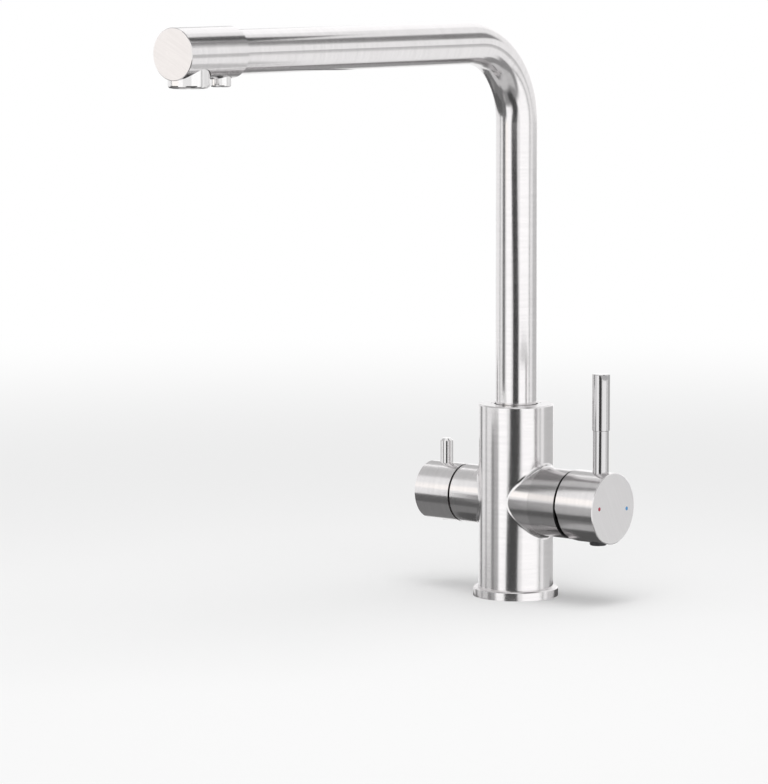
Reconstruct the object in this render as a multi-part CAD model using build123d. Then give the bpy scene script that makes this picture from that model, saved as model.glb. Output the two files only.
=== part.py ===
"""Three way filtered water tap.

A tall L spout turns on an upright body. The mixer for hot and cold water sits
in the housing on the right, the quarter-turn valve for filtered water in the
housing on the left. Millimetres. The origin is the centre of the base ring's
underside, where the tap stands on its deck: +Z up, the spout points to -Y,
the mixer to +X and the filter valve to -X.
"""
from build123d import *
from math import cos, radians, sin
import os

os.makedirs("parts", exist_ok=True)

# ---- clearances -----------------------------------------------------------
FIT = 0.1       # radial play between pieces screwed or pressed together
RUN = 0.05      # play of a face that turns or slides in another
CLEAR = 0.4     # open distance between pieces that pass each other
OVER = 1.0      # how far a cutting tool runs past the face it opens

# ---- base ring ------------------------------------------------------------
ring_width = 3.45         # out from the side of the body
ring_height = 6.0
ring_chamfer = 0.8
seal_width = 2.8
seal_depth = 2.0
seal_inset = 1.3          # ring rim to the seal groove

# ---- body -----------------------------------------------------------------
body_dia = 51.0
body_top = 131.5
body_chamfer = 0.9
foot_step = 2.0           # foot set in from the body
foot_lift = 0.8           # underside of the foot above the deck
body_floor = 16.0         # underside of the inlet block
axis_z = 66.5             # height of the cross axis through both valves
saddle_fillet = 3.0       # where the side housings grow out of the body
housing_step = 2.3        # mixer housing set in from the body
housing_chamfer = 0.4

# ---- fixing below the deck --------------------------------------------------
deck_thickness = 12.0
shank_dia = 33.0
shank_bore = 28.0
shank_length = 62.0       # below the deck plane
collar_dia = 34.4         # centres the tap in a 35 mm deck hole
thread_chamfer = 1.0
gasket_dia = 50.0
gasket_thickness = 3.0
washer_dia = 51.0
washer_thickness = 1.5
washer_bore = 34.8
nut_across_flats = 44.0
nut_height = 9.0

# ---- inlet ports and galleries ---------------------------------------------
inlet_dia = 10.0
inlet_depth = 10.0
inlet_circle = 7.6        # port centres from the upright axis
inlet_spread = 60.0       # hot and cold ports either side of +X, degrees
gallery_dia = 5.6
filter_gallery_dia = 5.0
port_dia = 6.0            # ports through the mixing cartridge
inlet_port_drop = 5.0     # hot and cold ports below the cross axis
outlet_port_rise = 9.0    # mixed water port above the cross axis
outlet_gallery_x = 8.0
filter_gallery_x = -20.0
filter_cross_z = 78.0

# ---- spout ----------------------------------------------------------------
tube_dia = 28.0
tube_wall = 1.2
spout_height = 376.5      # deck to the centre line of the level run
spout_reach = 343.0       # upright centre line to the face of the head
bend_radius = 54.0
pipe_dia = 8.0
pipe_wall = 1.0

# ---- spout bearing in the body ----------------------------------------------
rim_ring_drop = 0.1       # below the rim of the body
rim_ring_height = 1.7
rim_ring_play = 0.9       # open gap round the foot of the tube
glide_height = 7.2
glide_width = 2.85
insert_wall = 5.0
insert_length = 23.0
spigot_length = 12.0
groove_width = 3.0
groove_depth = 2.0
groove_inset = 4.0        # insert ends to the centres of the O-ring grooves
keeper_width = 5.0        # groove for the screw that keeps the spout in
keeper_screw_dia = 4.0
keeper_hex = 2.0
chamber_dia = 26.0
chamber_depth = 8.5
socket_depth = 9.0
pipe_seal_section = 2.0
pipe_seal_drop = 4.3      # chamber floor to the pipe seal

# ---- spout head -------------------------------------------------------------
head_length = 52.5
head_wall = 2.0
head_play = 0.2
head_face = 0.8
head_chamfer = 0.35
head_overlap = 1.5        # of the shell over the end of the tube
manifold_spigot = 15.5
aerator_set = 14.5        # face of the head to the outlet axes
nozzle_set = 43.8
outlet_drop = 5.0         # outlets below the underside of the head
outlet_gap = 0.4          # round the outlets, in the head
outlet_round = 1.2
aerator_round = 2.0
aerator_dia = 26.0
aerator_ceiling = 7.6     # head axis to the ceiling of the aerator's pocket
aerator_thread_dia = 22.0
aerator_thread_length = 5.0
aerator_bore = 19.2
aerator_lip = 1.0
lip_height = 1.5
insert_height = 9.5
aerator_washer_height = 2.0
mesh_thickness = 0.8
mesh_hole = 1.3
mesh_pitch = 2.0
chamber_top = 8.0         # mixing chamber above the head axis
chamber_bore = 18.0
main_gallery_dia = 5.2
main_gallery_circle = 8.4
main_gallery_angles = (20.0, 70.0, 110.0, 160.0)
nozzle_dia = 12.8
nozzle_ceiling = 9.5
nozzle_thread_dia = 8.0
nozzle_thread_length = 4.8
nozzle_bore = 5.2
nozzle_mouth = 8.4
nozzle_mouth_depth = 4.2
nozzle_insert_height = 3.2
nozzle_hole = 1.6
nozzle_hole_circle = 2.5

# ---- mixer ------------------------------------------------------------------
mixer_dia = 48.0
mixer_face_x = 49.6       # end of the housing
mixer_gap = 1.6           # housing to knob
mixer_knob_length = 30.7
knob_chamfer = 0.5
skirt_wall = 1.2
knob_cavity_depth = 13.8
lever_x = 71.5
lever_rod_dia = 10.9
lever_rod_rise = 51.8     # cross axis to the step in the lever
lever_grip_dia = 12.0
lever_top_rise = 90.0     # cross axis to the tip of the lever
lever_spot = 0.8          # depth of the flat that the rod stands on
lever_thread_dia = 8.0
lever_thread_end = 11.0   # cross axis to the end of the rod's thread
stud_dia = 5.0
stud_length = 12.0
grip_chamfer = 0.4
screw_x = 69.7
screw_dia = 5.0
screw_length = 12.0
plug_dia = 11.6
plug_depth = 5.5
plug_proud = 1.6
plug_chamfer = 0.6
dot_dia = 2.6
dot_depth = 0.8
dot_offset = 15.5
dot_turn = 5.3            # the dots' line off level, hot side up, degrees
relief = ((0.0, 0.0), (1.7, 6.0), (2.5, 18.0), (3.2, 21.2), (9.1, 24.0))
# back of the knob to the relief, and how far below the axis, so that it tilts

# ---- 35 mm mixing cartridge ---------------------------------------------------
cartridge_dia = 35.0
pocket_play = 0.3
seat_x = 13.5
seat_gap = 0.5            # left to the port seals
base_thickness = 4.0
port_seal_width = 1.6
port_seal_depth = 1.0
peg_dia = 4.0
peg_length = 2.5
peg_y = 11.0
peg_rise = 7.0
fixed_disc_dia = 30.0
fixed_disc_thickness = 3.5
moving_disc_dia = 23.0
moving_disc_thickness = 3.4
mixing_pocket_dia = 15.0
mixing_pocket_depth = 1.7
carrier_thickness = 2.6
shell_wall = 1.7
shell_front = 2.0
collar_flange_dia = 30.8
collar_flange_thickness = 4.6
neck_length = 8.0
neck_wall = 2.4
collar_neck_dia = 22.0
collar_proud = 3.0        # of the neck of the shell
pivot_offset = 1.0        # shoulder of the shell to the pivot pin
pivot_pin_dia = 3.0
stem_width = 8.0
stem_end_x = 72.5
tip_width = 5.0
tip_height = 4.0
tip_travel = 0.8          # room above and below the tip in its carrier
stem_shoulder = 1.6       # rear of the collar to the full width of the stem
slot_swing = 8.5          # reach of the collar's slot to one side of the stem
nut_thickness = 6.0
nut_thread_dia = 40.0
nut_slot = 4.0
dome_lip = 1.0            # dome out of the housing before it curves in
dome_rise = 6.5
dome_mouth = 27.0
dome_wall = 1.4

# ---- filter valve ---------------------------------------------------------------
filter_dia = 40.0
filter_face_x = 42.4      # end of the housing, towards -X
filter_gap = 1.2
filter_knob_length = 29.3
filter_pocket_dia = 34.0
filter_step_x = 34.0      # step that the bonnet's flange bears on
filter_seat_x = 16.0
valve_seal_thickness = 1.0
valve_seal_bore = 7.0
bonnet_dia = 21.0
bonnet_wall = 2.5
bonnet_flats = 24.0
bonnet_flange = 4.0
bonnet_neck_dia = 16.0
bonnet_neck_length = 8.0
window_width = 6.0
window_length = 4.5
disc_thickness = 3.0
disc_port = 3.0
disc_port_rise = 1.5      # port in the fixed disc above the cross axis
disc_port_drop = 4.9      # port in the turning disc below it, when shut
spindle_dia = 9.0
driver_dia = 14.0
driver_thickness = 2.5
tongue_width = 3.0
tongue_height = 1.5
tongue_length = 10.0
square_width = 5.6
square_length = 16.0
spindle_groove_x = 41.0
spindle_ring_section = 1.2
cover_thickness = 3.4
filter_cavity_depth = 4.4
filter_cavity_dia = 34.0
pin_x = 60.1
pin_dia = 9.0
pin_rise = 36.5           # cross axis to the top of the pin
pin_chamfer = 1.5
pin_spot = 0.8
pin_thread_dia = 6.0
pin_thread_end = 11.0
filter_screw_dia = 4.0
filter_screw_length = 10.0
filter_plug_dia = 6.0
filter_plug_depth = 2.5

# ---- worked out from the sizes above ------------------------------------------
body_r = body_dia / 2
ring_r = body_r + ring_width
foot_r = body_r - foot_step
housing_r = body_r - housing_step
shank_r = shank_dia / 2
tube_r = tube_dia / 2
tube_bore_r = tube_r - tube_wall
pipe_r = pipe_dia / 2
pipe_bore_r = pipe_r - pipe_wall
mixer_r = mixer_dia / 2
filter_r = filter_dia / 2

gasket_top = -deck_thickness
washer_top = gasket_top - gasket_thickness
nut_top = washer_top - washer_thickness

rim_ring_top = body_top - rim_ring_drop
glide_top = rim_ring_top - rim_ring_height
glide_foot = glide_top - glide_height
glide_bore_r = tube_r + RUN
glide_r = glide_bore_r + glide_width
insert_top = glide_foot - CLEAR
insert_foot = insert_top - insert_length
insert_bore_r = tube_bore_r - FIT - groove_depth
insert_r = insert_bore_r + insert_wall
seal_bore_r = insert_r + RUN
seal_bore_floor = insert_foot - CLEAR
keeper_z = (insert_top + insert_foot) / 2
chamber_floor = seal_bore_floor - chamber_depth
socket_floor = chamber_floor - socket_depth
pipe_foot = socket_floor + CLEAR
pipe_seal_z = chamber_floor - pipe_seal_drop

face_y = -spout_reach
head_rear_y = face_y + head_length
tube_end_y = head_rear_y - head_overlap
shell_bore_r = tube_r + head_play
head_r = shell_bore_r + head_wall
manifold_r = shell_bore_r - FIT
aerator_y = face_y + aerator_set
nozzle_y = face_y + nozzle_set
aerator_r = aerator_dia / 2
nozzle_r = nozzle_dia / 2
outlet_z = spout_height - head_r - outlet_drop
aerator_roof = spout_height - aerator_ceiling
nozzle_roof = spout_height - nozzle_ceiling
pipe_stop_y = nozzle_y + nozzle_bore

cartridge_r = cartridge_dia / 2
base_x = seat_x + seat_gap
fixed_x = base_x + base_thickness
moving_x = fixed_x + fixed_disc_thickness + RUN
carrier_x = moving_x + moving_disc_thickness
flange_x = carrier_x + carrier_thickness + CLEAR
shell_roof_x = flange_x + collar_flange_thickness + CLEAR
shoulder_x = shell_roof_x + shell_front
neck_end_x = shoulder_x + neck_length
collar_end_x = neck_end_x + collar_proud
collar_neck_r = collar_neck_dia / 2
neck_r = collar_neck_r + RUN + neck_wall
pivot_x = shoulder_x + pivot_offset
nut_r = nut_thread_dia / 2 - FIT
nut_front_x = shoulder_x + nut_thickness
knob_rear_x = mixer_face_x + mixer_gap
knob_front_x = knob_rear_x + mixer_knob_length
cavity_end_x = knob_rear_x + knob_cavity_depth
plug_foot = mixer_r + plug_proud
plug_roof = plug_foot - plug_depth

bonnet_r = bonnet_dia / 2
bonnet_x = filter_seat_x + valve_seal_thickness
disc_r = bonnet_r - bonnet_wall - FIT
turning_x = bonnet_x + disc_thickness + RUN
driver_x = turning_x + disc_thickness
bonnet_roof_x = driver_x + driver_thickness + CLEAR
flange_end_x = filter_step_x + bonnet_flange
neck_end_filter_x = flange_end_x + bonnet_neck_length
filter_rear_x = filter_face_x + filter_gap
filter_end_x = filter_rear_x + filter_knob_length
square_start_x = neck_end_filter_x
square_end_x = square_start_x + square_length

inlets = {
    "hot": (inlet_circle * cos(radians(inlet_spread)), -inlet_circle * sin(radians(inlet_spread))),
    "cold": (inlet_circle * cos(radians(inlet_spread)), inlet_circle * sin(radians(inlet_spread))),
    "filtered": (-inlet_circle, 0.0),
}
dot_centres = [
    (side * dot_offset * cos(radians(dot_turn)), axis_z - side * dot_offset * sin(radians(dot_turn)))
    for side in (-1, 1)
]
mixer_ports = (
    (inlets["hot"][1], axis_z - inlet_port_drop),
    (inlets["cold"][1], axis_z - inlet_port_drop),
    (0.0, axis_z + outlet_port_rise),
)


# ---- building blocks --------------------------------------------------------
def place(shape, axis, at):
    """Turn a shape made along Z onto an axis and move it to the two other coordinates."""
    if axis == "X":
        return Pos(0, at[0], at[1]) * Rot(0, 90, 0) * shape
    if axis == "Y":
        return Pos(at[0], 0, at[1]) * Rot(-90, 0, 0) * shape
    return Pos(at[0], at[1], 0) * shape


def rod(radius, start, end, axis="Z", at=(0, 0)):
    """Round bar between two stations along an axis."""
    bar = Pos(0, 0, (start + end) / 2) * Cylinder(radius, abs(end - start))
    return place(bar, axis, at)


def turned(profile, axis="Z", at=(0, 0)):
    """Solid of revolution; the profile lists (station along the axis, radius)."""
    outline = Polyline(*[(radius, 0, station) for station, radius in profile], close=True)
    return place(revolve(make_face(outline), Axis.Z), axis, at)


def ring(outer, inner, start, end, axis="Z", at=(0, 0)):
    """Flat ring between two stations."""
    return turned([(start, inner), (start, outer), (end, outer), (end, inner)], axis, at)


def hexagon(flats, start, end, axis="Z", at=(0, 0)):
    """Hexagonal bar between two stations."""
    bar = extrude(RegularPolygon(flats / 2, 6, major_radius=False), end - start)
    return place(Pos(0, 0, start) * bar, axis, at)


def block(x, y, z):
    """Box from three (low, high) pairs."""
    size = [high - low for low, high in (x, y, z)]
    centre = [(low + high) / 2 for low, high in (x, y, z)]
    return Pos(*centre) * Box(*size)


def bent_bar(radius, foot_z, end_y):
    """Round bar up the spout's centre line, round its bend and out to end_y."""
    route = FilletPolyline((0, 0, foot_z), (0, 0, spout_height), (0, end_y, spout_height), radius=bend_radius)
    return sweep(Pos(0, 0, foot_z) * Circle(radius), path=route)


def o_ring(inner, section, station, axis="Z", at=(0, 0)):
    """O-ring of a given inner radius and section."""
    loop = Pos(0, 0, station) * Torus(inner + section / 2, section / 2)
    return place(loop, axis, at)


# ---- base and fixing ----------------------------------------------------------
def make_base_ring():
    groove_r = ring_r - seal_inset
    shape = turned([
        (0, foot_r + FIT), (0, ring_r), (ring_height - ring_chamfer, ring_r),
        (ring_height, ring_r - ring_chamfer), (ring_height, foot_r + FIT),
    ])
    return shape - ring(groove_r, groove_r - seal_width, -OVER, seal_depth)


def make_base_seal():
    groove_r = ring_r - seal_inset
    return ring(groove_r - FIT, groove_r - seal_width + FIT, 0, seal_depth)


def make_shank():
    return turned([
        (-shank_length, shank_bore / 2), (-shank_length, shank_r - thread_chamfer),
        (-shank_length + thread_chamfer, shank_r), (gasket_top, shank_r), (gasket_top, collar_dia / 2),
        (foot_lift, collar_dia / 2), (foot_lift, shank_r), (body_floor - FIT, shank_r),
        (body_floor - FIT, shank_bore / 2),
    ])


def make_mounting_nut():
    nut = hexagon(nut_across_flats, nut_top - nut_height, nut_top)
    return nut - rod(shank_r + FIT, nut_top - nut_height - OVER, nut_top + OVER)


# ---- body -------------------------------------------------------------------
def make_body_outside():
    """Upright cylinder with both side housings and the small fillets where they meet."""
    upright = turned([
        (ring_height, 0), (ring_height, body_r), (body_top - body_chamfer, body_r),
        (body_top, body_r - body_chamfer), (body_top, 0),
    ])
    mixer_side = turned([
        (0, 0), (0, housing_r), (mixer_face_x - housing_chamfer, housing_r),
        (mixer_face_x, housing_r - housing_chamfer), (mixer_face_x, 0),
    ], "X", (0, axis_z))
    filter_side = turned([
        (0, 0), (0, filter_r), (-filter_face_x + housing_chamfer, filter_r),
        (-filter_face_x, filter_r - housing_chamfer), (-filter_face_x, 0),
    ], "X", (0, axis_z))
    shape = upright + mixer_side + filter_side
    saddles = [e for e in shape.edges() if e.geom_type not in (GeomType.CIRCLE, GeomType.LINE)]
    shape = fillet(saddles, saddle_fillet)
    return shape + rod(foot_r, foot_lift, ring_height)


def spout_bores():
    """What the spout, its bearing and the inner pipe take out of the body."""
    seal_groove_r = pipe_r + RUN + pipe_seal_section + FIT
    half = pipe_seal_section / 2 + FIT
    return [
        rod(glide_r + FIT, glide_foot, body_top + OVER),
        rod(seal_bore_r, seal_bore_floor, glide_foot + OVER),
        rod(chamber_dia / 2, chamber_floor, seal_bore_floor + OVER),
        rod(pipe_r + RUN, socket_floor, chamber_floor + OVER),
        rod(seal_groove_r, pipe_seal_z - half, pipe_seal_z + half),
        rod(keeper_screw_dia / 2 + FIT, seal_bore_r - OVER, body_r + OVER, "Y", (0, keeper_z)),
    ]


def water_galleries():
    """Drilled ways from the inlet ports to the two valve seats and up to the spout."""
    gallery_r = gallery_dia / 2
    filter_gallery_r = filter_gallery_dia / 2
    port_roof = body_floor + inlet_depth
    cuts = [rod(inlet_dia / 2, body_floor - OVER, port_roof, at=centre) for centre in inlets.values()]
    for (x, y), (_, z) in zip((inlets["hot"], inlets["cold"]), mixer_ports):
        cuts += [rod(gallery_r, port_roof - OVER, z, at=(x, y))]
        cuts += [rod(gallery_r, x, seat_x + OVER, "X", (y, z))]
    outlet_z_mixer = mixer_ports[2][1]
    filter_x, _ = inlets["filtered"]
    return cuts + [
        rod(gallery_r, outlet_gallery_x - gallery_r, seat_x + OVER, "X", (0, outlet_z_mixer)),
        rod(gallery_r, outlet_z_mixer, chamber_floor + OVER, at=(outlet_gallery_x, 0)),
        rod(filter_gallery_r, port_roof - OVER, axis_z, at=(filter_x, 0)),
        rod(filter_gallery_r, -filter_seat_x - OVER, filter_x + filter_gallery_r, "X", (0, axis_z)),
        rod(filter_gallery_r, axis_z, filter_cross_z + filter_gallery_r, at=(filter_gallery_x, 0)),
        rod(filter_gallery_r, filter_gallery_x, filter_gallery_r, "X", (0, filter_cross_z)),
        rod(filter_gallery_r, filter_cross_z, socket_floor + OVER),
    ]


def valve_pockets():
    """Seats and threads for the mixing cartridge and the filter valve."""
    cuts = [
        rod(cartridge_r + pocket_play, seat_x, mixer_face_x + OVER, "X", (0, axis_z)),
        rod(nut_thread_dia / 2, shoulder_x - OVER, mixer_face_x + OVER, "X", (0, axis_z)),
        rod(bonnet_r + FIT, -filter_step_x - OVER, -filter_seat_x, "X", (0, axis_z)),
        rod(filter_pocket_dia / 2, -filter_face_x - OVER, -filter_step_x, "X", (0, axis_z)),
    ]
    peg_floor_x = base_x - peg_length - CLEAR
    for y in (-peg_y, peg_y):
        cuts += [rod(peg_dia / 2 + FIT, peg_floor_x, seat_x + OVER, "X", (y, axis_z + peg_rise))]
    return cuts


def make_body():
    shape = make_body_outside()
    shape -= rod(shank_r + FIT, foot_lift - OVER, body_floor)
    for cut in spout_bores() + water_galleries() + valve_pockets():
        shape -= cut
    return shape


def make_spout_screw():
    inner_y = insert_r - groove_depth + CLEAR
    outer_y = body_r - OVER
    screw = rod(keeper_screw_dia / 2, inner_y, outer_y, "Y", (0, keeper_z))
    return screw - hexagon(keeper_hex, outer_y - keeper_screw_dia / 2, outer_y + OVER, "Y", (0, keeper_z))


# ---- spout ------------------------------------------------------------------
def make_spout_tube():
    return bent_bar(tube_r, insert_top, tube_end_y) - bent_bar(tube_bore_r, insert_top, tube_end_y)


def make_filter_pipe():
    end_y = pipe_stop_y + CLEAR
    return bent_bar(pipe_r, pipe_foot, end_y) - bent_bar(pipe_bore_r, pipe_foot, end_y)


def groove_stations():
    return insert_foot + groove_inset, insert_top - groove_inset


def make_spout_insert():
    spigot_r = tube_bore_r - FIT
    shape = turned([
        (insert_foot, insert_bore_r), (insert_foot, insert_r), (insert_top, insert_r),
        (insert_top, spigot_r), (insert_top + spigot_length, spigot_r),
        (insert_top + spigot_length, insert_bore_r),
    ])
    for station, width in [(z, groove_width) for z in groove_stations()] + [(keeper_z, keeper_width)]:
        shape -= ring(insert_r + OVER, insert_r - groove_depth, station - width / 2, station + width / 2)
    return shape


def make_spout_o_rings():
    section = groove_depth - FIT
    return [o_ring(insert_r - groove_depth + FIT / 2, section, z) for z in groove_stations()]


# ---- head -------------------------------------------------------------------
def outlet_pockets():
    """Round pockets that the aerator and the nozzle stand in, open downwards."""
    low = spout_height - head_r - OVER
    return [
        rod(aerator_r + outlet_gap, low, aerator_roof, at=(0, aerator_y)),
        rod(nozzle_r + outlet_gap, low, nozzle_roof, at=(0, nozzle_y)),
    ]


def make_head_shell():
    shape = turned([
        (face_y, 0), (face_y, head_r - head_chamfer), (face_y + head_chamfer, head_r),
        (head_rear_y - head_chamfer, head_r), (head_rear_y, head_r - head_chamfer),
        (head_rear_y, shell_bore_r), (face_y + head_face, shell_bore_r), (face_y + head_face, 0),
    ], "Y", (0, spout_height))
    for pocket in outlet_pockets():
        shape -= pocket
    return shape


def make_head_manifold():
    spigot_end_y = tube_end_y + manifold_spigot
    spigot_r = tube_bore_r - FIT
    shape = turned([
        (face_y + head_face, 0), (face_y + head_face, manifold_r), (tube_end_y, manifold_r),
        (tube_end_y, spigot_r), (spigot_end_y, spigot_r), (spigot_end_y, 0),
    ], "Y", (0, spout_height))
    drill_r = nozzle_bore / 2
    over_nozzle = {"start": nozzle_roof - OVER, "at": (0, nozzle_y)}
    over_aerator = {"start": aerator_roof - OVER, "at": (0, aerator_y)}
    cuts = outlet_pockets() + [
        rod(pipe_r + FIT, pipe_stop_y, spigot_end_y + OVER, "Y", (0, spout_height)),
        rod(drill_r, nozzle_y, pipe_stop_y + OVER, "Y", (0, spout_height)),
        rod(drill_r, end=spout_height, **over_nozzle),
        rod(nozzle_thread_dia / 2 + FIT, end=nozzle_roof + nozzle_thread_length, **over_nozzle),
        rod(aerator_thread_dia / 2 + FIT, end=aerator_roof + aerator_thread_length, **over_aerator),
        rod(chamber_bore / 2, end=spout_height + chamber_top, **over_aerator),
    ]
    for angle in main_gallery_angles:
        centre = (main_gallery_circle * cos(radians(angle)),
                  spout_height + main_gallery_circle * sin(radians(angle)))
        cuts += [rod(main_gallery_dia / 2, aerator_y, spigot_end_y + OVER, "Y", centre)]
    for cut in cuts:
        shape -= cut
    return shape


def rounded_foot(radius, rounding):
    """Profile points of an outlet's rounded lower rim."""
    steps = [radians(angle) for angle in range(0, 91, 18)]
    return [(outlet_z + rounding * (1 - cos(a)), radius - rounding * (1 - sin(a))) for a in steps]


def make_aerator_housing():
    roof = aerator_roof - FIT
    bore_r = aerator_bore / 2
    return turned([
        (outlet_z, bore_r - aerator_lip), *rounded_foot(aerator_r, aerator_round),
        (roof, aerator_r), (roof, aerator_thread_dia / 2),
        (roof + aerator_thread_length - FIT, aerator_thread_dia / 2),
        (roof + aerator_thread_length - FIT, bore_r), (outlet_z + lip_height, bore_r),
        (outlet_z + lip_height, bore_r - aerator_lip),
    ], at=(0, aerator_y))


def make_aerator_insert():
    foot = outlet_z + lip_height
    floor = foot + mesh_thickness
    top = foot + insert_height
    radius = aerator_bore / 2 - FIT
    return turned([
        (foot, radius - 2 * aerator_lip), (foot, radius), (top, radius), (top, radius - aerator_lip),
        (floor, radius - aerator_lip), (floor, radius - 2 * aerator_lip),
    ], at=(0, aerator_y))


def make_aerator_washer():
    foot = outlet_z + lip_height + insert_height
    radius = aerator_bore / 2 - FIT
    return ring(radius, radius - aerator_lip, foot, foot + aerator_washer_height, at=(0, aerator_y))


def mesh_centres(reach):
    """Hexagonal grid of hole centres within reach of the aerator's axis."""
    rows = int(reach / mesh_pitch) + 1
    for row in range(-rows, rows + 1):
        for column in range(-rows, rows + 1):
            x = mesh_pitch * (column + 0.5 * (row % 2))
            y = mesh_pitch * row * sin(radians(60))
            if (x * x + y * y) ** 0.5 < reach:
                yield x, y


def make_aerator_mesh():
    top = outlet_z + lip_height
    radius = aerator_bore / 2 - aerator_lip - FIT
    shape = rod(radius, top - mesh_thickness, top, at=(0, aerator_y))
    holes = [rod(mesh_hole / 2, top - mesh_thickness - OVER, top + OVER, at=(x, aerator_y + y))
             for x, y in mesh_centres(radius - mesh_hole)]
    return shape - holes


def make_filter_nozzle():
    roof = nozzle_roof - FIT
    return turned([
        (outlet_z, nozzle_mouth / 2), *rounded_foot(nozzle_r, outlet_round),
        (roof, nozzle_r), (roof, nozzle_thread_dia / 2),
        (roof + nozzle_thread_length, nozzle_thread_dia / 2), (roof + nozzle_thread_length, nozzle_bore / 2),
        (outlet_z + nozzle_mouth_depth, nozzle_bore / 2), (outlet_z + nozzle_mouth_depth, nozzle_mouth / 2),
    ], at=(0, nozzle_y))


def make_nozzle_insert():
    top = outlet_z + nozzle_mouth_depth
    foot = top - nozzle_insert_height
    shape = rod(nozzle_mouth / 2 - FIT, foot, top, at=(0, nozzle_y))
    centres = [(0, 0)] + [(nozzle_hole_circle * cos(radians(a)), nozzle_hole_circle * sin(radians(a)))
                          for a in range(0, 360, 60)]
    return shape - [rod(nozzle_hole / 2, foot - OVER, top + OVER, at=(x, nozzle_y + y)) for x, y in centres]


# ---- mixing cartridge -----------------------------------------------------------
def port_holes(start, end):
    """The three water ways through the cartridge between two stations."""
    return [rod(port_dia / 2, start, end, "X", centre) for centre in mixer_ports]


def make_cartridge_base():
    shape = rod(cartridge_r, base_x, fixed_x, "X", (0, axis_z))
    for y in (-peg_y, peg_y):
        shape += rod(peg_dia / 2, base_x - peg_length, base_x + FIT, "X", (y, axis_z + peg_rise))
    for hole in port_holes(base_x - OVER, fixed_x + OVER):
        shape -= hole
    for centre in mixer_ports:
        shape -= rod(port_dia / 2 + port_seal_width, base_x - OVER, base_x + port_seal_depth, "X", centre)
    return shape


def make_cartridge_seals():
    outer, inner = port_dia / 2 + port_seal_width - FIT, port_dia / 2
    return [ring(outer, inner, seat_x, base_x + port_seal_depth, "X", centre) for centre in mixer_ports]


def make_fixed_disc():
    shape = rod(fixed_disc_dia / 2, fixed_x, fixed_x + fixed_disc_thickness, "X", (0, axis_z))
    return shape - port_holes(fixed_x - OVER, fixed_x + fixed_disc_thickness + OVER)


def make_cartridge_shell():
    inner_r = cartridge_r - shell_wall
    return turned([
        (fixed_x, inner_r), (fixed_x, cartridge_r), (shoulder_x, cartridge_r), (shoulder_x, neck_r),
        (neck_end_x, neck_r), (neck_end_x, collar_neck_r + RUN), (shell_roof_x, collar_neck_r + RUN),
        (shell_roof_x, inner_r),
    ], "X", (0, axis_z))


def make_cartridge_nut():
    shape = ring(nut_r, neck_r + FIT, shoulder_x, nut_front_x, "X", (0, axis_z))
    bar = block((nut_front_x - nut_slot / 2, nut_front_x + OVER), (-nut_r - OVER, nut_r + OVER),
                (-nut_slot / 2, nut_slot / 2))
    for angle in (0, 90):
        shape -= Pos(0, 0, axis_z) * Rot(angle, 0, 0) * bar
    return shape


def make_trim_dome():
    lip_x = mixer_face_x + dome_lip
    tip_x = lip_x + dome_rise
    mouth_r = dome_mouth / 2
    mid_x = lip_x + 0.6 * dome_rise
    mid_r = mouth_r + 0.6 * (nut_r - mouth_r)
    outside = [(nut_front_x, nut_r), (lip_x, nut_r), (mid_x, mid_r), (tip_x, mouth_r)]
    inside = [
        (tip_x - dome_wall, mouth_r), (mid_x - dome_wall, mid_r - dome_wall),
        (lip_x - dome_wall, nut_r - dome_wall), (nut_front_x, nut_r - dome_wall),
    ]
    return turned(outside + inside, "X", (0, axis_z))


def make_cartridge_collar():
    shape = turned([
        (flange_x, 0), (flange_x, collar_flange_dia / 2),
        (flange_x + collar_flange_thickness, collar_flange_dia / 2),
        (flange_x + collar_flange_thickness, collar_neck_r), (collar_end_x, collar_neck_r), (collar_end_x, 0),
    ], "X", (0, axis_z))
    half = stem_width / 2 + FIT
    low, high = axis_z - half, axis_z + half
    shape -= block((flange_x - OVER, pivot_x + half), (-half, half), (low, axis_z + slot_swing))
    shape -= block((pivot_x - half, collar_end_x + OVER), (-half, half), (axis_z - slot_swing, high))
    pin_end = collar_neck_r + OVER
    return shape - rod(pivot_pin_dia / 2 + FIT / 2, -pin_end, pin_end, "Y", (pivot_x, axis_z))


def make_pivot_pin():
    half_length = collar_neck_r - OVER
    return rod(pivot_pin_dia / 2, -half_length, half_length, "Y", (pivot_x, axis_z))


def make_moving_disc():
    shape = rod(moving_disc_dia / 2, moving_x, moving_x + moving_disc_thickness, "X", (0, axis_z))
    pocket_roof_x = moving_x + mixing_pocket_depth
    return shape - rod(mixing_pocket_dia / 2, moving_x - OVER, pocket_roof_x, "X", (0, axis_z))


def make_disc_carrier():
    end_x = carrier_x + carrier_thickness
    shape = rod(moving_disc_dia / 2, carrier_x, end_x, "X", (0, axis_z))
    half_y, half_z = tip_width / 2 + CLEAR, tip_height / 2 + tip_travel
    window_z = (axis_z - half_z, axis_z + half_z)
    return shape - block((carrier_x - OVER, end_x + OVER), (-half_y, half_y), window_z)


def make_cartridge_stem():
    half = stem_width / 2
    shoulder = flange_x + stem_shoulder
    shape = block((shoulder, stem_end_x), (-half, half), (axis_z - half, axis_z + half))
    shape += block((carrier_x + CLEAR, shoulder + FIT), (-tip_width / 2, tip_width / 2),
                   (axis_z - tip_height / 2, axis_z + tip_height / 2))
    return shape - rod(pivot_pin_dia / 2 + RUN, -half - OVER, half + OVER, "Y", (pivot_x, axis_z))


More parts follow.
